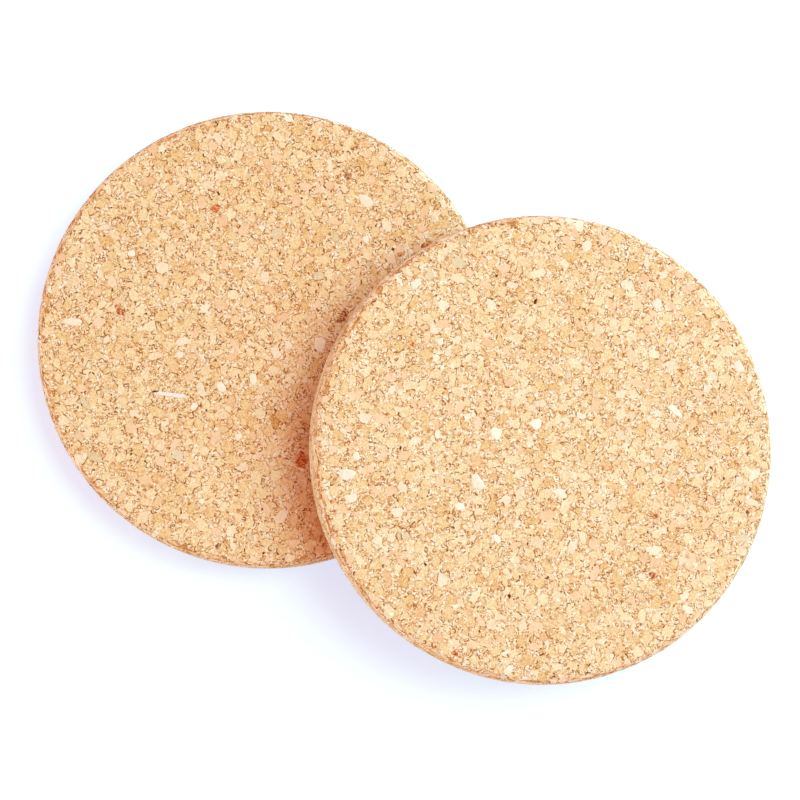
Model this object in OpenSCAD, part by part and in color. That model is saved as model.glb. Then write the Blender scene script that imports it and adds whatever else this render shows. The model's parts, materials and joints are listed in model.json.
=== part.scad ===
// A pair of round cork drink coasters. The lower one lies flat, and the upper one leans on its rim.

/* [Coaster] */
// Diameter of each coaster
coaster_d = 100; // [80:1:110]
// Thickness of each coaster
coaster_t = 10; // [6:0.5:12]
// Radius of the rounded edge round each face
edge_r = 2.6; // [1:0.1:3]
// How steeply the rounded edge leaves the face, in degrees
edge_start = 25; // [10:1:45]

/* [Resting pose] */
// How far outside the lower rim the upper coaster's edge stands on the table
foot_reach = 61.2; // [54:0.1:88]
// Room between the upper coaster's underside and the rim that it leans on
lean_gap = 0.1; // [0.05:0.05:0.3]

/* [Granules that stand out] */
// Usual width of a pale granule
pale_w = 2.6; // [1.6:0.1:3.2]
// Usual width of a bark fleck
bark_w = 1.8; // [1:0.1:2.4]
// Length of the straw splinter
splinter_l = 7.6; // [4:0.2:9]
// Width of the straw splinter
splinter_w = 0.9; // [0.6:0.1:1.6]
// How deep these granules reach into the cork
granule_depth = 1.2; // [0.6:0.1:2]
// Thickness of the binder film round a granule
bond_line = 0.05; // [0.03:0.01:0.1]

/* [Hidden] */

coaster_r = coaster_d / 2;
// The rounded edge takes this much off the face and off the rim.
edge_w = edge_r * (1 - sin(edge_start));
edge_h = edge_r * cos(edge_start);
face_r = coaster_r - edge_w;

// The upper coaster stands on the corner of its underside, which leans on the lower coaster's upper corner.
foot_x = coaster_r + foot_reach;
run = foot_x - face_r;
lean = atan2(coaster_t, run) + asin(lean_gap / norm([run, coaster_t]));
upper_x = foot_x - face_r * cos(lean);
upper_z = face_r * sin(lean);

// Each granule is [share of the face's radius, angle, lie of its long side, share of the usual width,
// length to width]. Angles are in the coaster's own frame.
lower_pale_places = [
    [0.204, 274.9, 121, 0.84, 1.57], [0.754, 77, 166, 1.19, 1.5], [0.103, 358.6, 150, 0.8, 1.3],
    [0.308, 251, 153, 0.88, 1.4], [0.398, 215.1, 14, 0.77, 1.1], [0.452, 247, 77, 0.67, 1.5],
    [0.62, 67.6, 125, 0.71, 1.3], [0.715, 171.3, 30, 0.77, 1.2], [0.467, 277.3, 68, 0.65, 1.3],
    [0.791, 271.5, 22, 0.62, 1.1], [0.869, 198.5, 20, 0.88, 2.6]
];
lower_bark_places = [
    [0.809, 86.5, 27, 1.09, 1.3], [0.821, 53.1, 48, 0.78, 2.4], [0.664, 193.3, 4, 1.17, 1.3],
    [0.624, 134.8, 48, 1.17, 1.5], [0.959, 279.9, 62, 0.66, 1.7], [0.348, 37.6, 73, 1.17, 2.4],
    [0.578, 308.1, 116, 1.71, 1.6]
];
upper_pale_places = [
    [0.889, 210.3, 34, 1.19, 1.6], [0.892, 216.9, 31, 0.96, 1.6], [0.603, 39.3, 162, 0.69, 3.2],
    [0.241, 186.4, 143, 1.23, 1.2], [0.121, 137.4, 40, 1.15, 1.25], [0.465, 235.6, 19, 0.92, 1.2],
    [0.845, 205.4, 112, 0.81, 1.1], [0.452, 262.9, 148, 0.73, 1.5], [0.923, 152.3, 73, 0.88, 1.5],
    [0.344, 228, 152, 1.23, 1.6], [0.663, 158.6, 93, 0.65, 1.3], [0.812, 75.2, 111, 1, 1.2],
    [0.945, 45.8, 152, 1.04, 1.35]
];
upper_bark_places = [
    [0.728, 333.6, 178, 1.05, 1.2], [0.948, 6, 7, 0.58, 1.2], [0.568, 351.8, 60, 0.78, 1.3],
    [0.748, 165.8, 138, 0.47, 2], [0.691, 231.8, 84, 0.51, 1.3], [0.96, 110, 25, 0.47, 1.5],
    [0.976, 268.1, 178, 0.78, 1.35]
];
// The splinter's middle, as a share of the face's radius and an angle, and the way that it points
splinter_place = [0.503, 234.3];
splinter_turn = 15;

// A granule's outline has this many corners, each drawn in by up to this share of its radius.
granule_corners = 7;
granule_jag_share = 0.3;
// The splinter is a lath with pointed ends, each this share of its length.
splinter_point_share = 0.18;
// How far a pocket's cutter stands proud of the face
cutter_over = 1;

cork_colour = [0.88, 0.71, 0.47];
pale_colour = [0.97, 0.89, 0.74];
bark_colour = [0.53, 0.27, 0.13];
straw_colour = [0.95, 0.87, 0.68];

function corner_reach(i, seed) = 1 - granule_jag_share * abs(sin(seed * 7 + i * 97));

// An irregular outline round the origin, grown by room on every side
function granule_outline(width, stretch, seed, room) = [
    for (i = [0 : granule_corners - 1])
        let (
            a = i * 360 / granule_corners,
            x = width / 2 * stretch * corner_reach(i, seed) * cos(a),
            y = width / 2 * corner_reach(i, seed) * sin(a),
            grown = 1 + room / norm([x, y])
        )
        [x * grown, y * grown]
];

function splinter_outline(room) =
    let (
        half_l = splinter_l / 2 + room,
        half_w = splinter_w / 2 + room,
        inset = splinter_l * splinter_point_share
    )
    [
        [half_l, 0], [half_l - inset, half_w], [inset - half_l, half_w],
        [-half_l, 0], [inset - half_l, -half_w], [half_l - inset, -half_w]
    ];

// The body between an inlay's flat top, flush with the face, and its floor; room makes it the pocket
module inlay(room) {
    over = room > 0 ? cutter_over : 0;
    translate([0, 0, coaster_t - granule_depth - room])
        linear_extrude(granule_depth + room + over)
            children();
}

module granules(places, width, room = 0) {
    for (place = places)
        rotate(place[1])
            translate([place[0] * face_r, 0])
                rotate(place[2] - place[1])
                    inlay(room)
                        polygon(granule_outline(width * place[3], place[4], place[1], room));
}

module splinter(room = 0) {
    rotate(splinter_place[1])
        translate([splinter_place[0] * face_r, 0])
            rotate(splinter_turn - splinter_place[1])
                inlay(room)
                    polygon(splinter_outline(room));
}

// Half of a coaster's section: flat faces that meet a straight rim in rounded edges
module coaster_section() {
    intersection() {
        square([coaster_r, coaster_t]);
        union() {
            square([coaster_r - edge_r, coaster_t]);
            translate([0, edge_h])
                square([coaster_r, coaster_t - 2 * edge_h]);
            for (z = [edge_h, coaster_t - edge_h])
                translate([coaster_r - edge_r, z])
                    circle(r = edge_r, $fn = 64);
        }
    }
}

module coaster() {
    rotate_extrude($fn = 180)
        coaster_section();
}

module on_lower_rim() {
    translate([upper_x, 0, upper_z])
        rotate([0, lean, 0])
            children();
}

module lower_disc() {
    color(cork_colour)
        difference() {
            coaster();
            granules(lower_pale_places, pale_w, bond_line);
            granules(lower_bark_places, bark_w, bond_line);
            splinter(bond_line);
        }
}

module lower_pale_granules() {
    color(pale_colour)
        granules(lower_pale_places, pale_w);
}

module lower_bark_flecks() {
    color(bark_colour)
        granules(lower_bark_places, bark_w);
}

module lower_straw_splinter() {
    color(straw_colour)
        splinter();
}

module upper_disc() {
    color(cork_colour)
        on_lower_rim()
            difference() {
                coaster();
                granules(upper_pale_places, pale_w, bond_line);
                granules(upper_bark_places, bark_w, bond_line);
            }
}

module upper_pale_granules() {
    color(pale_colour)
        on_lower_rim()
            granules(upper_pale_places, pale_w);
}

module upper_bark_flecks() {
    color(bark_colour)
        on_lower_rim()
            granules(upper_bark_places, bark_w);
}

lower_disc();
lower_pale_granules();
lower_bark_flecks();
lower_straw_splinter();
upper_disc();
upper_pale_granules();
upper_bark_flecks();
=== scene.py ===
"""Looks of a pair of round cork coasters: pressed granules, standout chips, white table, soft light."""

import json
import math

import bmesh
import bpy
import numpy as np
from mathutils import Matrix, Vector
from mathutils.geometry import delaunay_2d_cdt
from mathutils.kdtree import KDTree


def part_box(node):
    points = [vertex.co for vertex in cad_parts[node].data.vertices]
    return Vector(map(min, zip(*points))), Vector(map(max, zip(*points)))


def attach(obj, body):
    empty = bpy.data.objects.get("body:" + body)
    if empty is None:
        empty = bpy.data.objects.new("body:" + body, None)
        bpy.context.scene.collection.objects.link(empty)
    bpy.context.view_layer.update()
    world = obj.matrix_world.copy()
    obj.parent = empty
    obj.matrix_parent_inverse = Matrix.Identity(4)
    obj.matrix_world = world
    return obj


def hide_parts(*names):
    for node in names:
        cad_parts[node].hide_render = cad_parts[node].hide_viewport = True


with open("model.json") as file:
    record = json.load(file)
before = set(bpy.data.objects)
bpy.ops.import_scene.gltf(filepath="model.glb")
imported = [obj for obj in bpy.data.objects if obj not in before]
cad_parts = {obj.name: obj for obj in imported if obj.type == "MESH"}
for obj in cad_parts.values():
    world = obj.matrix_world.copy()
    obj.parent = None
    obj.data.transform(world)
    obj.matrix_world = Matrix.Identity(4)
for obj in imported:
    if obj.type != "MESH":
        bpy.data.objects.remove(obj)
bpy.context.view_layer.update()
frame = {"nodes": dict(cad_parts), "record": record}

MM = 0.001
TINY = 1e-6


def coaster_sizes():
    """Radius, thickness, and what a rounded edge takes off the face and off the rim.

    They are read from the lower coaster, which lies flat on the origin."""
    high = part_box("lower_disc")[1]
    places = np.array([v.co for v in frame["nodes"]["lower_disc"].data.vertices])
    out, level = np.hypot(places[:, 0], places[:, 1]), places[:, 2]
    face_r = out[level > high.z - TINY].max()
    rim_top = level[out > high.x - TINY].max()
    return high.x, high.z, high.x - face_r, high.z - rim_top


def upper_placement():
    """Takes a coaster from the lower one's place to the upper one's, by the mount on the upper face."""
    seat = next(m for m in frame["record"]["mounts"] if m["name"] == "glass_seat")
    up = Vector(seat["axis"])
    foot = Vector(seat["pos_m"]) - up * THICK
    return Matrix.Translation(foot) @ Matrix.Rotation(math.atan2(up.x, up.z), 4, "Y")


RADIUS, THICK, EDGE_WIDTH, EDGE_HEIGHT = coaster_sizes()
FACE_R = RADIUS - EDGE_WIDTH
# The rounded edge is an arc that leaves the face at a slope
EDGE_R = (EDGE_WIDTH**2 + EDGE_HEIGHT**2) / (2 * EDGE_WIDTH)
EDGE_START = math.asin(1 - EDGE_WIDTH / EDGE_R)
EDGE_TURN = math.pi / 2 - EDGE_START
ARC = EDGE_R * EDGE_TURN
WALL = THICK - 2 * EDGE_HEIGHT
# Way along the section from the top's middle, over the rim, to the underside's edge
SKIN_R = FACE_R + 2 * ARC + WALL

# Spacing of the fines on the top and rim and on the underside, and how far each strays from its row
TOP_FINES = 0.54 * MM
UNDER_FINES = 1.1 * MM
FINES_STRAY = 0.34
# Way that they keep from a skin's edge, in spacings
EDGE_WAY = 1.3
# Coarser granules have outlines: their widths, the share of a skin that is tried, and the tries for each
COARSEST = 3.2 * MM
FINEST = 1.0 * MM
FINE_BIAS = 1.3
COARSE_SHARE = 0.7
MOST_COARSE = 20000
TRIES = 10
# An outline's corners: how many, how far out at most, and how far each strays inwards and along
OUTLINE_CORNERS = 6
OUTLINE_REACH = 1.12
OUTLINE_STRAY = 0.32
CORNER_STRAY = 0.3
# How much longer than wide they get, on the faces and along the rim
LONGEST = 2.0
RIM_LONGEST = (1.5, 3.0)
# Clear way that an outline keeps from the fines' middles
CLEAR_WAY = 0.13 * MM
# Seams open in patches of this width, and by this much alike
LOOSE_PATCH = 0.9 * MM
PATCH_STRAY = 0.4
LOOSE_SHARE = 0.2
# Relief: how deep granules lie, how much they tip, and how deep seams, pits and pockets go
SUNK = 0.04 * MM
FINES_SUNK = 0.06 * MM
TIP = 0.05
SEAM_DEPTH = 0.06 * MM
SEAM_WIDTH = 0.15 * MM
PIT_DEPTH = 0.4 * MM
PIT_SHARE = 0.0003
POCKET_DEPTH = 0.45 * MM
# Granules that the rim's cut goes through lie deeper
RIM_SUNK = 0.08 * MM
# Spread of tones among the fines and among the coarse granules
FINES_SPREAD = 1.0
COARSE_SPREAD = 0.9
# A pressed block's crumbs are flatter than wide by this much
PRESSED = 2.2
# How strongly crumbs show inside a coarse granule, against one among the fines
COARSE_CRUMB = 0.35
# Points nearer than this are welded, and sides shorter than this are taken out
WELD = 0.02 * MM
SLIVER = 0.005 * MM


def section(s):
    """Radius, height and outward direction at a way s along the section."""
    past = s - FACE_R
    upper_turn = np.clip(past / EDGE_R, 0, EDGE_TURN)
    lower_turn = np.clip((past - ARC - WALL) / EDGE_R, 0, EDGE_TURN)
    turn = EDGE_START + upper_turn + lower_turn
    radius = np.minimum(s, FACE_R) + EDGE_R * (np.sin(turn) - math.sin(EDGE_START))
    height = THICK - EDGE_R * (math.cos(EDGE_START) - np.cos(turn)) - np.clip(past - ARC, 0, WALL)
    slope = np.where(past > 0, turn, 0)
    return radius, height, np.sin(slope), np.cos(slope)


def raised_skin(flat, lift):
    """Lays points of the flat pattern over the top and the rim, lifted along the outward direction."""
    way = np.hypot(flat[:, 0], flat[:, 1])
    radius, height, out, up = section(np.minimum(way, SKIN_R))
    aim = flat / np.maximum(way, TINY)[:, None]
    return np.c_[aim * (radius + out * lift)[:, None], height + up * lift]


def raised_underside(flat, lift):
    """Lays points of the flat pattern over the underside, lifted downwards."""
    way = np.hypot(flat[:, 0], flat[:, 1])
    inside = np.minimum(1, FACE_R / np.maximum(way, TINY))
    return np.c_[flat * inside[:, None], -lift]


def scatter(radius, pitch, stray, rng):
    """Points in a circle, on a grid of triangles, each moved at random by up to a share of the pitch."""
    row = pitch * math.sqrt(3) / 2
    count = int(radius / row) + 2
    i, j = np.meshgrid(np.arange(-count, count + 1), np.arange(-count, count + 1))
    points = np.c_[(i + 0.5 * (j % 2)).ravel() * pitch, (j * row).ravel()]
    points += rng.uniform(-stray, stray, points.shape) * pitch
    return points[np.hypot(points[:, 0], points[:, 1]) < radius]


def patches(points, radius, width, rng):
    """A number from 0 to 1 for each point, the same within patches about as wide as given."""
    middles = scatter(radius, width, PATCH_STRAY, rng)
    tree = KDTree(len(middles))
    for k, (x, y) in enumerate(middles):
        tree.insert((x, y, 0), k)
    tree.balance()
    number = rng.random(len(middles))
    return np.array([number[tree.find((x, y, 0))[1]] for x, y in points])


def ring(radius, count):
    """Points spaced evenly on a circle."""
    angle = np.arange(count) * 2 * math.pi / count
    return radius * np.c_[np.cos(angle), np.sin(angle)]


def lay_outlines(radius, pockets, rng):
    """Outlines of the coarser granules, pockets first and then from large to small, none over another."""
    half = COARSEST / 2 * (FINEST / COARSEST) ** rng.random(MOST_COARSE) ** (1 / FINE_BIAS)
    half = np.sort(half[np.cumsum(math.pi * half**2) < COARSE_SHARE * math.pi * radius**2])[::-1]
    outlines = list(pockets)
    middles = [outline.mean(axis=0) for outline in pockets]
    reach = [np.hypot(*(outline - middle).T).max() for outline, middle in zip(pockets, middles)]
    near = {}

    def patch(middle):
        return tuple((middle // COARSEST).astype(int))

    for k, middle in enumerate(middles):
        near.setdefault(patch(middle), []).append(k)
    for width in half:
        for _ in range(TRIES):
            way = (radius - 2 * width) * math.sqrt(rng.random())
            angle = rng.uniform(0, 2 * math.pi)
            on_rim = way > FACE_R + ARC / 2
            lie = angle + math.pi / 2 if on_rim else rng.uniform(0, math.pi)
            stretch = math.sqrt(rng.uniform(*RIM_LONGEST) if on_rim else rng.uniform(1, LONGEST))
            middle = way * np.array((math.cos(angle), math.sin(angle)))
            along = np.array((math.cos(lie), math.sin(lie)))
            column, row = patch(middle)
            beside = [
                k for i in (-1, 0, 1) for j in (-1, 0, 1)
                for k in near.get((column + i, row + j), ())
            ]
            step = np.array([middles[k] for k in beside]).reshape(-1, 2) - middle
            apart = np.hypot(step @ along / stretch, step @ (-along[1], along[0]) * stretch)
            if (apart > width + np.array([reach[k] for k in beside])).all():
                break
        else:
            continue
        stray = rng.uniform(-CORNER_STRAY, CORNER_STRAY, OUTLINE_CORNERS)
        turn = (np.arange(OUTLINE_CORNERS) + stray) * 2 * math.pi / OUTLINE_CORNERS
        out = width * (OUTLINE_REACH - OUTLINE_STRAY * rng.random(OUTLINE_CORNERS) ** 2)
        corners = np.outer(out * np.cos(turn) * stretch, along)
        corners += np.outer(out * np.sin(turn) / stretch, (-along[1], along[0]))
        near.setdefault((column, row), []).append(len(middles))
        outlines.append(middle + corners)
        middles.append(middle)
        reach.append(width)
    return outlines


def nearest_on(outline, points):
    """The places on a closed outline that lie nearest to points, and how far off they are."""
    side = np.roll(outline, -1, axis=0) - outline
    share = ((points[:, None] - outline) * side).sum(axis=2) / (side**2).sum(axis=1)
    place = outline + np.clip(share, 0, 1)[..., None] * side
    far = np.hypot(*np.moveaxis(points[:, None] - place, 2, 0))
    best = far.argmin(axis=1)
    rows = np.arange(len(points))
    return place[rows, best], far[rows, best]


def within(points, outline):
    """Which points lie inside a closed outline."""
    x, y = points[:, 0], points[:, 1]
    inside = np.zeros(len(points), bool)
    for (x0, y0), (x1, y1) in zip(outline, np.roll(outline, -1, axis=0)):
        crosses = (y0 > y) != (y1 > y)
        inside ^= crosses & (x < (x1 - x0) * (y - y0) / (y1 - y0 + TINY**2) + x0)
    return inside


def sort_fines(seeds, outlines):
    """Which outlined granule each seed lies in, or none (-1), and which seeds lie clear of outlines."""
    tree = KDTree(len(seeds))
    for k, (x, y) in enumerate(seeds):
        tree.insert((x, y, 0), k)
    tree.balance()
    owner = np.full(len(seeds), -1)
    clear = np.ones(len(seeds), bool)
    for number, outline in enumerate(outlines):
        middle = outline.mean(axis=0)
        reach = np.hypot(*(outline - middle).T).max() + CLEAR_WAY
        near = np.array([found[1] for found in tree.find_range((*middle, 0), reach)], int)
        if len(near) == 0:
            continue
        near = near[owner[near] < 0]
        inside = within(seeds[near], outline)
        owner[near[inside]] = number
        clear[near[nearest_on(outline, seeds[near])[1] < CLEAR_WAY]] = False
    return owner, clear


def cells_round(seeds, outside):
    """Splits a circle into one cell for each seed; the last seeds lie outside it and get no cell.

    Returns the corners where cells meet, the three seeds round each corner, and every side of a cell
    as a row of seed, neighbour, corner and corner."""
    around = np.array(delaunay_2d_cdt([Vector(p) for p in seeds / MM], [], [], 0, TINY)[2])
    a, b, c = (seeds[around[:, k]] for k in range(3))
    ab, ac = b - a, c - a
    area = 2 * (ab[:, 0] * ac[:, 1] - ab[:, 1] * ac[:, 0])
    square_ab, square_ac = (ab**2).sum(1), (ac**2).sum(1)
    corners = a + np.c_[
        ac[:, 1] * square_ab - ab[:, 1] * square_ac,
        ab[:, 0] * square_ac - ac[:, 0] * square_ab,
    ] / area[:, None]
    pairs = np.sort(np.concatenate([around[:, [0, 1]], around[:, [1, 2]], around[:, [2, 0]]]), axis=1)
    corner = np.tile(np.arange(len(around)), 3)
    order = np.lexsort((pairs[:, 1], pairs[:, 0]))
    pairs, corner = pairs[order], corner[order]
    twice = np.flatnonzero((pairs[1:] == pairs[:-1]).all(axis=1))
    one, two, first, last = pairs[twice, 0], pairs[twice, 1], corner[twice], corner[twice + 1]
    sides = np.concatenate([np.c_[one, two, first, last], np.c_[two, one, first, last]])
    sides = sides[sides[:, 0] < len(seeds) - outside]
    span = corners[sides[:, 2]] - seeds[sides[:, 0]]
    next_span = corners[sides[:, 3]] - seeds[sides[:, 0]]
    turned = span[:, 0] * next_span[:, 1] < span[:, 1] * next_span[:, 0]
    sides[turned, 2:] = sides[turned, 3:1:-1]
    return corners, around, sides


# Fines in the ring along a skin's edge, the same number on both skins
EDGE_CELLS = int(2 * math.pi * FACE_R / UNDER_FINES)


def granulated(radius, pitch, pockets, lay, looser, rng):
    """One skin of pressed granules: points, triangles, and what the finish reads from them.

    Every granule is a fan from its middle to its corners. A ring of fines and a mirrored ring outside
    give every skin the same corners on its edge."""
    outlines = lay_outlines(radius - pitch, pockets, rng)
    coarse = len(outlines)
    fines = scatter(radius - EDGE_WAY * pitch, pitch, FINES_STRAY, rng)
    owner, clear = sort_fines(fines, outlines)
    edge, beyond = (ring(radius + way, EDGE_CELLS) for way in (-pitch / 2, pitch / 2))
    seeds = np.concatenate([fines[clear], edge, beyond])
    owner = np.concatenate([owner[clear], np.full(2 * EDGE_CELLS, -1)])
    corners, around, sides = cells_round(seeds, EDGE_CELLS)

    # Each fine granule gets a number after the coarse ones
    single = np.flatnonzero(owner < 0)
    granule = owner.copy()
    granule[single] = coarse + np.arange(len(single))
    count = coarse + len(single)
    on_edge = (around >= len(seeds) - EDGE_CELLS).any(axis=1)

    # Corners on a coarse granule's border move onto its outline
    meet = granule[around]
    border = (meet != meet[:, :1]).any(axis=1)
    first = meet.min(axis=1)
    moved = np.flatnonzero(border & (first < coarse) & ~on_edge)
    moved = moved[np.argsort(first[moved], kind="stable")]
    for group in np.split(moved, np.flatnonzero(np.diff(first[moved])) + 1):
        if len(group):
            place, far = nearest_on(outlines[first[group[0]]], corners[group])
            share = np.minimum(1, pitch / 2 / np.maximum(far, TINY**2))[:, None]
            corners[group] += (place - corners[group]) * share

    members = np.bincount(granule, minlength=count)
    middles = np.stack([np.bincount(granule, seeds[:, k], count) for k in (0, 1)], axis=1)
    middles /= np.maximum(members, 1)[:, None]
    is_fine = np.arange(count) >= coarse
    hollow = is_fine & (rng.random(count) < PIT_SHARE)
    on_rim = np.hypot(*middles.T) > FACE_R
    sunk = np.where(on_rim, RIM_SUNK, np.where(is_fine, FINES_SUNK, SUNK)) * rng.random(count)
    tip = rng.normal(0, TIP, (count, 2)) * ~is_fine[:, None]
    tone = np.where(is_fine, rng.normal(0, FINES_SPREAD, count), rng.normal(0, COARSE_SPREAD, count))
    kind = rng.random(count)

    level = np.mean(
        [((corners - middles[own]) * tip[own]).sum(axis=1) - sunk[own] for own in meet.T],
        axis=0,
    )
    corner_lift = np.minimum(level, 0) - rng.random(len(corners)) * SEAM_DEPTH
    corner_lift[on_edge] = 0
    middle_lift = -sunk - hollow * PIT_DEPTH
    middle_lift[:len(pockets)] = -POCKET_DEPTH

    # Only sides between two granules are kept, so a coarse granule's cells become one fan
    sides = sides[granule[sides[:, 0]] != granule[sides[:, 1]]]
    own = granule[sides[:, 0]]
    spread = np.hypot(*(corners[sides[:, 2]] - middles[own]).T)
    half = np.bincount(own, spread, count) / np.maximum(np.bincount(own, minlength=count), 1)
    used, hub = np.unique(own, return_inverse=True)
    used_corners, tips = np.unique(sides[:, 2:], return_inverse=True)
    seams, which = np.unique(np.sort(sides[:, 2:], axis=1), axis=0, return_inverse=True)
    loose = rng.random(len(seams))
    patch = patches(corners[seams].mean(axis=1), radius + pitch, LOOSE_PATCH, rng)
    loose += LOOSE_SHARE * (patch - loose) + looser
    # A pit's whole granule is marked for the darkest stain: the void's own dark colour together with
    # painted shade in the hollow
    middle_gap = np.where(hollow, 1.0, 1 - half / SEAM_WIDTH)
    return {
        "points": np.concatenate([
            lay(middles[used], middle_lift[used]),
            lay(corners[used_corners], corner_lift[used_corners]),
        ]),
        "crumb": np.where(is_fine, 1.0, COARSE_CRUMB)[own],
        "triangles": np.c_[hub, tips.reshape(-1, 2) + len(used)],
        "gap": np.concatenate([middle_gap[used], np.ones(len(used_corners))]),
        "seam": np.where(hollow[own], 1, loose[which.ravel()]),
        "tone": tone[own],
        "kind": kind[own],
        "rim": on_rim[own].astype(float),
    }


def add_mesh(name, points, faces, placement):
    """A new piece of points and faces, moved to its place."""
    mesh = bpy.data.meshes.new(name)
    mesh.from_pydata(points.tolist(), [], faces)
    mesh.transform(placement)
    piece = bpy.data.objects.new(name, mesh)
    bpy.context.scene.collection.objects.link(piece)
    return piece


def cork_body(name, pockets, placement, looser, seed):
    """A whole coaster of pressed granules: top and rim in one skin, the underside in another, welded."""
    rng = np.random.default_rng(seed)
    top = granulated(SKIN_R, TOP_FINES, pockets, raised_skin, looser, rng)
    under = granulated(FACE_R, UNDER_FINES, [], raised_underside, looser, rng)
    shift = len(top["points"])
    points = np.concatenate([top["points"], under["points"]])
    triangles = np.concatenate([top["triangles"], under["triangles"][:, ::-1] + shift])
    piece = add_mesh(name, points, triangles.tolist(), placement)
    mesh = piece.data
    for label in ("gap", "seam", "tone", "kind", "crumb", "rim"):
        layer = mesh.attributes.new(label, "FLOAT", "POINT" if label == "gap" else "FACE")
        layer.data.foreach_set("value", np.concatenate([top[label], under[label]]).astype(np.float32))
    # Where a point lies in its own pressed block, for the finish
    block = (points + seed * RADIUS) * (1, 1, PRESSED)
    layer = mesh.attributes.new("block", "FLOAT_VECTOR", "POINT")
    layer.data.foreach_set("vector", block.astype(np.float32).ravel())
    body = bmesh.new()
    body.from_mesh(mesh)
    bmesh.ops.remove_doubles(body, verts=body.verts, dist=WELD)
    bmesh.ops.dissolve_degenerate(body, edges=body.edges, dist=SLIVER)
    for face in body.faces:
        face.smooth = True
    body.to_mesh(mesh)
    body.free()
    return piece


# What lies this near to the face counts as flush with it
FLUSH = 10 * TINY


def outlines_of(node, placement):
    """The flat tops of the granules in a CAD node, each as a ring of points in its coaster's own place."""
    work = bmesh.new()
    work.from_mesh(frame["nodes"][node].data)
    bmesh.ops.transform(work, matrix=placement.inverted(), verts=work.verts)
    bmesh.ops.remove_doubles(work, verts=work.verts, dist=TINY)
    waiting = set(work.verts)
    rings = []
    while waiting:
        island, edge = set(), [waiting.pop()]
        while edge:
            vert = edge.pop()
            island.add(vert)
            edge += [e.other_vert(vert) for e in vert.link_edges if e.other_vert(vert) in waiting]
            waiting -= set(edge)
        flat = np.array([v.co[:2] for v in island if v.co.z > THICK - FLUSH])
        spread = flat - flat.mean(axis=0)
        rings.append(flat[np.argsort(np.arctan2(spread[:, 1], spread[:, 0]))])
    work.free()
    return sorted(rings, key=lambda points: tuple(points.mean(axis=0)))


# A chip's section: share of the outline's reach, and depth under the face
CHIP_SECTION = [
    (0.9, 0.9 * MM),
    (1.0, 0.3 * MM),
    (0.99, 0.1 * MM),
    (0.9, 0.02 * MM),
    (0.6, -0.01 * MM),
    (0.3, 0.0),
]
# Steps along each side of its outline, how far out these lie, and how far each strays in or out and down
SIDE_STEPS = 3
CHIP_REACH = 1.06
CHIP_STRAY = (-0.12, 0.08)
CHIP_WOBBLE = 0.03 * MM


def chips(name, rings, placement, seed):
    """The standout granules of one node: angular shards that sit in their pockets, flush with the face."""
    rng = np.random.default_rng(seed)
    shades = rng.random(len(rings))
    points, faces, shade = [], [], []
    for number, outline in enumerate(rings):
        middle = outline.mean(axis=0)
        ends = zip(outline, np.roll(outline, -1, axis=0))
        rim = np.concatenate([np.linspace(a, b, SIDE_STEPS, endpoint=False) for a, b in ends]) - middle
        sides = len(rim)
        rim *= CHIP_REACH + rng.uniform(*CHIP_STRAY, (sides, 1))
        start = len(points)
        for share, depth in CHIP_SECTION:
            wobble = rng.uniform(0, CHIP_WOBBLE, sides)
            points += [(*(middle + share * p), THICK - depth - w) for p, w in zip(rim, wobble)]
        last = start + (len(CHIP_SECTION) - 1) * sides
        for k in range(len(CHIP_SECTION) - 1):
            for i in range(sides):
                j = (i + 1) % sides
                low = start + k * sides
                faces.append((low + i, low + j, low + sides + j, low + sides + i))
        faces.append([start + i for i in reversed(range(sides))])
        faces.append([last + i for i in range(sides)])
        shade += [shades[number]] * (len(faces) - len(shade))
    piece = add_mesh(name, np.array(points), faces, placement)
    piece.data.attributes.new("shade", "FLOAT", "FACE").data.foreach_set("value", shade)
    piece.data.polygons.foreach_set("use_smooth", [True] * len(piece.data.polygons))
    return piece


class Wire:
    """An output socket of a finish's nodes. Arithmetic on it adds Math nodes."""

    def __init__(self, finish, socket):
        self.finish = finish
        self.socket = socket

    def math(self, operation, first, second):
        return self.finish.node("ShaderNodeMath", {"operation": operation}, {0: first, 1: second})

    def __add__(self, other):
        return self.math("ADD", self, other)

    def __sub__(self, other):
        return self.math("SUBTRACT", self, other)

    def __rsub__(self, other):
        return self.math("SUBTRACT", other, self)

    def __mul__(self, other):
        return self.math("MULTIPLY", self, other)

    __radd__ = __add__
    __rmul__ = __mul__


class Nodes:
    """The nodes of a finish or of the sky."""

    def __init__(self, tree):
        self.tree = tree

    def node(self, kind, settings=None, sockets=None, out=0):
        """Adds a node, sets it up, fills or links its sockets, and returns one of its outputs."""
        made = self.tree.nodes.new(kind)
        for name, value in (settings or {}).items():
            if name == "stops":
                self.set_stops(made.color_ramp, value)
            else:
                setattr(made, name, value)
        self.fill(made, sockets or {})
        return Wire(self, made.outputs[out])

    def fill(self, made, sockets):
        for key, value in sockets.items():
            if isinstance(value, Wire):
                self.tree.links.new(value.socket, made.inputs[key])
            else:
                made.inputs[key].default_value = value

    def set_stops(self, ramp, stops):
        while len(ramp.elements) < len(stops):
            ramp.elements.new(1.0)
        for element, (place, colour) in zip(ramp.elements, stops):
            element.position = place
            element.color = colour

    def step(self, value, low, high):
        """0 below low, 1 above high, and a smooth rise between."""
        return self.node(
            "ShaderNodeMapRange",
            {"interpolation_type": "SMOOTHSTEP"},
            {"Value": value, "From Min": low, "From Max": high},
        )

    def mix(self, share, first, second):
        return self.node("ShaderNodeMix", {"data_type": "RGBA"}, {0: share, 6: first, 7: second}, out=2)

    def ramp(self, value, stops):
        return self.node("ShaderNodeValToRGB", {"stops": stops}, {0: value})


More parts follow.
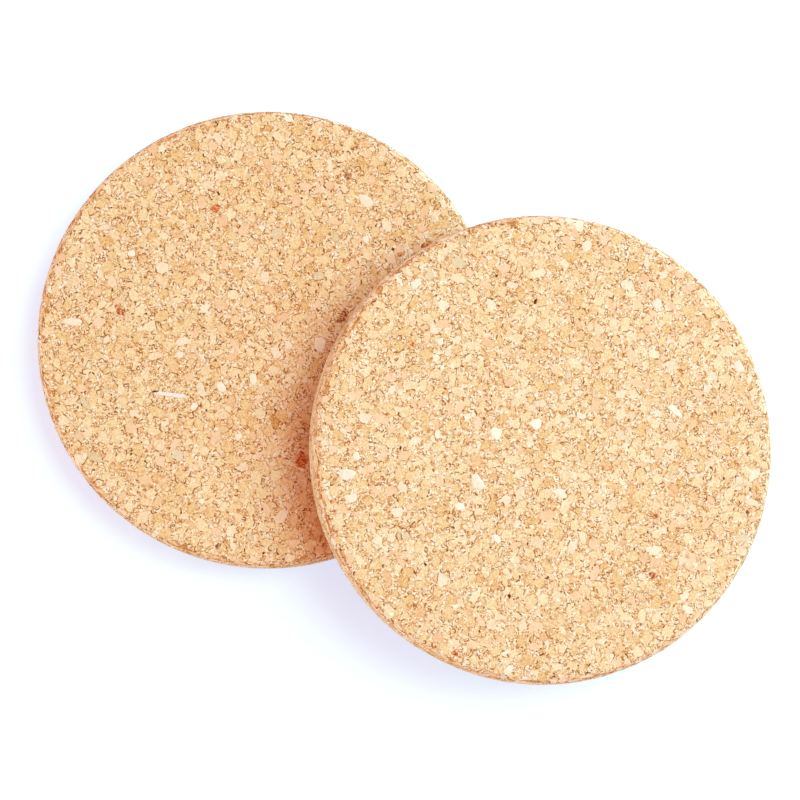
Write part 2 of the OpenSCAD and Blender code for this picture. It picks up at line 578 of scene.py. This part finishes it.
class Finish(Nodes):
    """A material that is built up from nodes and ends in one Principled surface."""

    def __init__(self, name):
        self.material = bpy.data.materials.new(name)
        self.material.use_nodes = True
        super().__init__(self.material.node_tree)
        self.surface = self.tree.nodes["Principled BSDF"]

    def attribute(self, name, out="Fac"):
        return self.node("ShaderNodeAttribute", {"attribute_name": name}, out=out)

    def place(self):
        """Where a point lies in the part."""
        return self.node("ShaderNodeTexCoord", out="Object")

    def noise(self, width, detail=2.0, roughness=0.5, out="Fac", vector=None):
        """Soft noise from 0 to 1 whose blotches are about as wide as given."""
        return self.node(
            "ShaderNodeTexNoise",
            {},
            {
                "Vector": vector or self.place(),
                "Scale": 1 / width,
                "Detail": detail,
                "Roughness": roughness,
            },
            out,
        )

    def crumbs(self, width, stray):
        """A number from 0 to 1 for each crumb, in cells about as wide as given whose borders stray."""
        bend = self.node(
            "ShaderNodeVectorMath",
            {"operation": "MULTIPLY_ADD"},
            {0: self.noise(1.5 * width, detail=1, out="Color"), 1: (stray, stray, stray), 2: self.place()},
        )
        own = self.node("ShaderNodeTexVoronoi", {}, {"Vector": bend, "Scale": 1 / width}, "Position")
        return self.node("ShaderNodeTexWhiteNoise", {}, {"Vector": own}, "Value")

    def bump(self, height, depth):
        return self.node("ShaderNodeBump", {}, {"Height": height, "Distance": depth, "Strength": 1.0})

    def coat(self, **sockets):
        """Fills the surface's sockets, named in lower case with underscores."""
        names = {key: key.replace("_", " ").title().replace("Ior", "IOR") for key in sockets}
        self.fill(self.surface, {names[key]: value for key, value in sockets.items()})
        return self.material


# How much brighter than its own colour the studio light shows a level surface, in red, green and blue
LIT = (1.21, 1.22, 1.2)


def paint(red, green, blue):
    """The own colour, in linear values, of a surface that the light shows with these screen values."""
    parts = [c / 255 for c in (red, green, blue)]
    linear = [p / 12.92 if p <= 0.04045 else ((p + 0.055) / 1.055) ** 2.4 for p in parts]
    return (*[p / lit for p, lit in zip(linear, LIT)], 1.0)


HONEY_TONES = [
    (0.0, paint(190, 120, 56)),
    (0.25, paint(234, 180, 112)),
    (0.5, paint(250, 220, 168)),
    (0.75, paint(255, 241, 208)),
    (1.0, paint(255, 252, 236)),
]
ROSE_TONES = [
    (0.0, paint(190, 118, 62)),
    (0.25, paint(236, 178, 116)),
    (0.5, paint(252, 218, 172)),
    (0.75, paint(255, 239, 210)),
    (1.0, paint(255, 252, 240)),
]


# Widths of the cork's grain, of its grit, of the layers on its rim and of its slow drift in tone
GRAIN = 0.24 * MM
GRIT = 0.3 * MM
LAYER = 0.9 * MM
DRIFT = 7 * MM
# On the rim the layers of a pressed block show as dark streaks, drawn out along it by this much
LAYERED = (0.25, 0.25, 1)
# What makes up a tone, with how much more of it the fines take: a start, the granule's own, grit and grain
START_TONE = (0.44, 0.04)
OWN_TONE = (0.05, 0.07)
GRIT_TONE = (0.12, 0.25)
GRAIN_TONE = (0.6, 1.35)
DRIFT_TONE = 0.2
# On the rim a tone starts higher, and a streak lowers it
RIM_TONE = 0.06
STREAK_TONE = 0.42
# Each granule has a number from 0 to 1 for its kind: these are rose, and the others honey. Rim granules
# take rose as well, a painted cool cast from the light on the rim.
ROSE_FROM = (0.5, 0.75)
# Coarse granules of these kinds are peach, and this strongly
PEACH_SPAN = (0.75, 0.88)
PEACH_FADE = (0.005, 0.005)
PEACH = paint(249, 204, 163)
PEACH_SHARE = 0.8
# Rare kinds: their span of numbers, how it fades in and out, how strongly they are tinted, and the tint
RARE_KINDS = [
    ((0.985, 1.1), (0.003, 0.004), 0.3, paint(226, 150, 90)),
    ((0.94, 0.985), (0.005, 0.004), 0.5, paint(255, 246, 220)),
    ((-0.1, 0.015), (0.003, 0.004), 0.4, paint(214, 198, 170)),
]
# Seams: how far the grain frays them, and how much more they open on the rim
FRAY = 1.2
RIM_LOOSER = 0.03
# Stains along them, and painted shade in the pits: the nearness and looseness over which they set in, how
# strongly, and the colour. The last and darkest also fills each pit, partly the void's own dark colour and
# partly painted shade in the hollow.
SEAM_STAINS_AND_PIT_SHADE = [
    ((-0.1, 0.5), (0.3, 0.75), 0.7, paint(206, 126, 44)),
    ((-0.3, 0.3), (0.74, 0.84), 0.95, paint(158, 86, 18)),
    ((-0.7, 0.0), (0.94, 0.96), 0.9, paint(112, 54, 10)),
]


class Cork(Finish):
    """A finish that lies in a pressed block of crumbs."""

    def place(self):
        """Where a point lies in its own pressed block."""
        return self.attribute("block", "Vector")

    def of_kind(self, span, fade):
        """1 on granules whose kind lies in a span of numbers, and 0 on the others."""
        kind = self.attribute("kind")
        (start, end), (fade_in, fade_out) = span, fade
        return self.step(kind, start, start + fade_in) * self.step(end - kind, 0.0, fade_out)


def pressed_cork():
    """Ordinary granules: one tone each, crumbs among the fines, thin broken seams, and dark pits whose
    colour is partly painted shade.
    """
    cork = Cork("pressed_cork")
    grain = cork.noise(GRAIN, detail=2, roughness=0.6)
    drift = cork.noise(DRIFT, detail=2, roughness=0.5)
    layers = cork.node("ShaderNodeVectorMath", {"operation": "MULTIPLY"}, {0: cork.place(), 1: LAYERED})
    streak = cork.step(cork.noise(LAYER, detail=3, roughness=0.65, vector=layers), 0.46, 0.6)
    grit = cork.crumbs(GRIT, stray=GRIT)
    crumb = cork.attribute("crumb")
    rim = cork.attribute("rim")

    def taken(amounts):
        least, more = amounts
        return least + crumb * more

    tone = taken(START_TONE) + cork.attribute("tone") * taken(OWN_TONE)
    tone = tone + (grit - 0.5) * taken(GRIT_TONE) + (grain - 0.5) * taken(GRAIN_TONE)
    tone = tone + (drift - 0.5) * DRIFT_TONE + (RIM_TONE - streak * STREAK_TONE) * rim
    # On the rim every granule takes the rose tones: a painted cool cast that stands in for the light the
    # rim gets from the white table
    rose = cork.step(cork.attribute("kind"), *ROSE_FROM) + rim
    colour = cork.mix(rose, cork.ramp(tone, HONEY_TONES), cork.ramp(tone, ROSE_TONES))
    peach = cork.of_kind(PEACH_SPAN, PEACH_FADE) * (1 - crumb)
    colour = cork.mix(peach * PEACH_SHARE, colour, PEACH)
    for span, fade, share, tint in RARE_KINDS:
        colour = cork.mix(cork.of_kind(span, fade) * share, colour, tint)
    loose = cork.attribute("seam") + rim * RIM_LOOSER
    near = cork.attribute("gap") + (grain - 0.5) * FRAY
    # The last stain paints pits and the loosest seams near-black; in the pits this is partly painted shade
    for nearness, looseness, share, seam_and_pit_colour in SEAM_STAINS_AND_PIT_SHADE:
        seam_and_pit_mask = cork.step(near, *nearness) * cork.step(loose, *looseness)
        colour = cork.mix(seam_and_pit_mask * share, colour, seam_and_pit_colour)
    return cork.coat(
        base_color=colour,
        roughness=0.72 + grain * 0.2,
        normal=cork.bump(grain, 0.04 * MM),
        specular_ior_level=0.1,
    )


def pale_granule():
    """Pale granules, some pinkish and some whiter."""
    pale = Finish("pale_granule")
    fine = pale.noise(0.4 * MM, detail=3, roughness=0.6)
    rose_tones = [(0.25, paint(244, 214, 178)), (0.5, paint(253, 234, 206)), (0.75, paint(255, 241, 221))]
    white_tones = [(0.25, paint(246, 224, 186)), (0.5, paint(254, 243, 215)), (0.75, paint(255, 248, 230))]
    white = pale.step(pale.attribute("shade"), 0.4, 0.6)
    tones = pale.mix(white, pale.ramp(fine, rose_tones), pale.ramp(fine, white_tones))
    return pale.coat(
        base_color=tones,
        roughness=0.6 + fine * 0.25,
        normal=pale.bump(fine, 0.04 * MM),
        specular_ior_level=0.25,
    )


def bark_fleck():
    """Flecks of bark, from dark brown to rust red."""
    bark = Finish("bark_fleck")
    fine = bark.noise(0.5 * MM, detail=3, roughness=0.7)
    brown_tones = [(0.4, paint(112, 70, 52)), (0.5, paint(164, 108, 78)), (0.6, paint(232, 178, 132))]
    rust_tones = [(0.4, paint(178, 70, 30)), (0.5, paint(216, 112, 60)), (0.6, paint(246, 184, 120))]
    tones = bark.mix(bark.attribute("shade"), bark.ramp(fine, brown_tones), bark.ramp(fine, rust_tones))
    return bark.coat(
        base_color=tones,
        roughness=0.65 + fine * 0.25,
        normal=bark.bump(fine, 0.06 * MM),
        specular_ior_level=0.1,
    )


def straw():
    """The splinter's pale straw."""
    lath = Finish("straw")
    fine = lath.noise(0.3 * MM, detail=3, roughness=0.6)
    tones = [(0.3, paint(236, 208, 184)), (0.5, paint(255, 240, 224)), (0.75, paint(255, 250, 242))]
    return lath.coat(
        base_color=lath.ramp(fine, tones),
        roughness=0.55 + fine * 0.25,
        normal=lath.bump(fine, 0.04 * MM),
        specular_ior_level=0.3,
    )


def dress(piece, finish, body, node):
    piece.data.materials.append(finish)
    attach(piece, body)
    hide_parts(node)


# How much more the seams of each coaster open, and the seed that scatters its granules
LOOSER = {"lower": 0.02, "upper": 0.0}
CORK_SEED = {"lower": 100, "upper": 101}


def build_coasters():
    """Both coasters. Each inlay has a seed that gives its granules their shapes and shades."""
    cork, pale, bark, lath = pressed_cork(), pale_granule(), bark_fleck(), straw()
    inlays = {
        "lower": [
            ("pale_granules", pale, "pale_cork", 875),
            ("bark_flecks", bark, "bark", 1220),
            ("straw_splinter", lath, "straw", 2),
        ],
        "upper": [("pale_granules", pale, "pale_cork", 2971), ("bark_flecks", bark, "bark", 3951)],
    }
    placements = {"lower": Matrix.Identity(4), "upper": upper_placement()}
    for which, kinds in inlays.items():
        place, body = placements[which], which + "_coaster"
        pockets = []
        for kind, finish, slot, seed in kinds:
            node = f"{which}_{kind}"
            rings = outlines_of(node, place)
            pockets += rings
            dress(chips(f"{which}_{kind}_dressed", rings, place, seed), finish, body, node)
        disc = cork_body(f"{which}_cork", pockets, place, LOOSER[which], CORK_SEED[which])
        dress(disc, cork, body, f"{which}_disc")


# The photograph's view: the point looked at, and the camera's place about it
VIEW_AT = Vector((31.663, -1.218, 5.0)) * MM
VIEW_AZIMUTH = math.radians(17.107)
VIEW_ELEVATION = math.radians(84.105)
VIEW_ROLL = math.radians(5.643)
VIEW_DISTANCE = 480 * MM
VIEW_LENS = 99.048
SENSOR = 36.0
NEAREST = 10 * MM


def add_camera():
    data = bpy.data.cameras.new("photo_view")
    data.sensor_width = SENSOR
    data.lens = VIEW_LENS
    data.clip_start = NEAREST
    camera = bpy.data.objects.new("photo_view", data)
    bpy.context.scene.collection.objects.link(camera)
    turn = Matrix.Rotation(VIEW_AZIMUTH, 4, "Z") @ Matrix.Rotation(math.pi / 2 - VIEW_ELEVATION, 4, "X")
    camera.matrix_world = (
        Matrix.Translation(VIEW_AT)
        @ turn
        @ Matrix.Translation((0, 0, VIEW_DISTANCE))
        @ Matrix.Rotation(VIEW_ROLL, 4, "Z")
    )
    bpy.context.scene.camera = camera


# Half the white table's side
TABLE_HALF = 4.0


def add_floor():
    corners = TABLE_HALF * np.array([(-1, -1, 0), (1, -1, 0), (1, 1, 0), (-1, 1, 0)])
    floor = add_mesh("white_table", corners, [(0, 1, 2, 3)], Matrix.Identity(4))
    white = Finish("white_table")
    finish = white.coat(
        base_color=(0.55, 0.54, 0.4, 1),
        emission_color=(0.38, 0.53, 0.76, 1),
        emission_strength=1.0,
        roughness=0.9,
        specular_ior_level=0.1,
    )
    floor.data.materials.append(finish)


def add_light(name, azimuth, elevation, distance, size, power, colour):
    """A square soft light that faces the coasters."""
    data = bpy.data.lights.new(name, "AREA")
    data.shape = "SQUARE"
    data.size = size
    data.energy = power
    data.color = colour
    light = bpy.data.objects.new(name, data)
    bpy.context.scene.collection.objects.link(light)
    a, e = math.radians(azimuth), math.radians(elevation)
    aim = Vector((math.cos(a) * math.cos(e), math.sin(a) * math.cos(e), math.sin(e)))
    light.location = VIEW_AT + aim * distance
    light.rotation_euler = aim.to_track_quat("Z", "Y").to_euler()


# The sky is bright on this side and a warm dim glow on the other, and turns from one to the other between
BRIGHT_SIDE = math.radians(40)
SKY_TURN = (-0.35, 0.55)
BRIGHT_SKY = (0.81, 1.2, 1.25, 1)
WARM_SKY = (0.86, 0.14, 0.0, 1)
# Soft lights: azimuth and elevation in degrees, distance and size in metres, power in watts, and colour
LIGHTS = {
    "window": (46, 55, 1.4, 0.9, 15, (0.67, 0.99, 0.98)),
    "reflector": (225, 7, 1.4, 0.3, 14, (0.43, 1.0, 1.13)),
    "low_card_south": (5, 4, 1.4, 0.15, 6, (0.55, 0.7, 1.5)),
    "low_card_north": (80, 4, 1.4, 0.15, 6, (0.55, 0.7, 1.5)),
}


def add_studio():
    world = bpy.data.worlds.new("studio")
    world.use_nodes = True
    sky = Nodes(world.node_tree)
    aim = (math.cos(BRIGHT_SIDE), math.sin(BRIGHT_SIDE), 0)
    facing = sky.node(
        "ShaderNodeVectorMath",
        {"operation": "DOT_PRODUCT"},
        {0: sky.node("ShaderNodeTexCoord", out="Generated"), 1: aim},
        "Value",
    )
    glow = sky.mix(sky.step(facing, *SKY_TURN), WARM_SKY, BRIGHT_SKY)
    sky.fill(world.node_tree.nodes["Background"], {"Color": glow})
    bpy.context.scene.world = world
    for name, setting in LIGHTS.items():
        add_light(name, *setting)
    bpy.context.scene.view_settings.view_transform = "Standard"


build_coasters()
add_floor()
add_studio()
add_camera()
